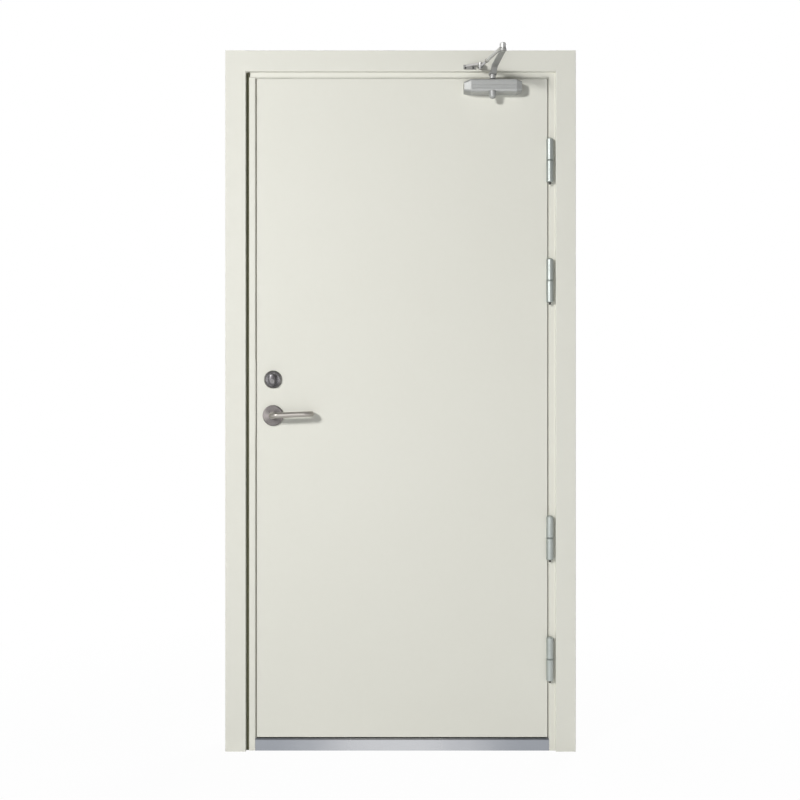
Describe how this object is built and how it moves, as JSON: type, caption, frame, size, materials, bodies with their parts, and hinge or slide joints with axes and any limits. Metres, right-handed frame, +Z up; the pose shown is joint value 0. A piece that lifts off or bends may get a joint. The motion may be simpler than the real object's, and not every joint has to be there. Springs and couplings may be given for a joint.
{
  "type": "fire exit door",
  "caption": "Single-leaf steel fire exit door in a pressed frame, hinged on the right, with lever, keyed lock, overhead closer and metal threshold.",
  "frame": {"origin": "on the floor, under the middle of the frame's width and depth", "axes": "+X across the doorway towards the hinges, +Y away from the pull side, +Z up"},
  "size_m": [1.05, 0.343, 2.1],
  "materials": {
    "cream_paint": "semi-gloss powder coat",
    "brushed_stainless": "brushed",
    "hinge_steel": "satin",
    "closer_silver": "silver paint",
    "arm_steel": "satin",
    "cylinder_nickel": "satin nickel",
    "seal_rubber": "matte",
    "mineral_core": "matte board"
  },
  "bodies": {
    "frame": {"hinge_jamb": "cream_paint", "lock_jamb": "cream_paint", "frame_head": "cream_paint", "threshold": "brushed_stainless", "lock_side_seal": "seal_rubber", "strike_plate": "brushed_stainless", "closer_shoe": "closer_silver", "frame_hinge_1": "hinge_steel", "frame_hinge_2": "hinge_steel", "frame_hinge_3": "hinge_steel", "frame_hinge_4": "hinge_steel"},
    "leaf": {"front_skin": "cream_paint", "back_skin": "cream_paint", "top_channel": "cream_paint", "bottom_channel": "cream_paint", "core": "mineral_core", "lock_faceplate": "brushed_stainless", "latch_bolt": "brushed_stainless", "dead_bolt": "brushed_stainless", "front_lever_rose": "brushed_stainless", "back_lever_rose": "brushed_stainless", "front_lock_collar": "brushed_stainless", "back_lock_collar": "brushed_stainless", "lock_cylinder": "cylinder_nickel", "closer_body": "closer_silver", "closer_left_cap": "closer_silver", "closer_right_cap": "closer_silver", "closer_pinion_cap": "closer_silver", "leaf_hinge_1": "hinge_steel", "leaf_hinge_2": "hinge_steel", "leaf_hinge_3": "hinge_steel", "leaf_hinge_4": "hinge_steel"},
    "lever": {"front_lever": "brushed_stainless", "back_lever": "brushed_stainless", "lever_spindle": "arm_steel"},
    "main_arm": {"closer_main_arm": "arm_steel", "elbow_pin": "arm_steel"},
    "forearm": {"forearm_tube": "arm_steel", "forearm_rod": "arm_steel"}
  },
  "joints": [
    {"name": "door_swing", "type": "hinge", "parent": "frame", "child": "leaf", "pos_m": [0.447, -0.0615, 0], "axis": [0, 0, 1], "range_deg": [0, 110], "stiffness_Nm_per_rad": 8, "springref_deg": -17.19},
    {"name": "lever_turn", "type": "hinge", "parent": "leaf", "child": "lever", "pos_m": [-0.3825, -0.0275, 1.0065], "axis": [0, 1, 0], "range_deg": [0, 45], "stiffness_Nm_per_rad": 1.5, "springref_deg": -28.65},
    {"name": "closer_arm_swing", "type": "hinge", "parent": "leaf", "child": "main_arm", "pos_m": [0.2735, -0.0885, 2.012], "axis": [0, 0, 1], "range_deg": [-196, 0]},
    {"name": "closer_forearm_swing", "type": "hinge", "parent": "main_arm", "child": "forearm", "pos_m": [0.287, -0.273, 2.045], "axis": [0, 0, 1], "range_deg": [0, 106]}
  ],
  "couplings": [
    {"joint": "closer_arm_swing", "follows": "door_swing", "ratio": -1.7716},
    {"joint": "closer_forearm_swing", "follows": "door_swing", "ratio": 0.95061}
  ]
}
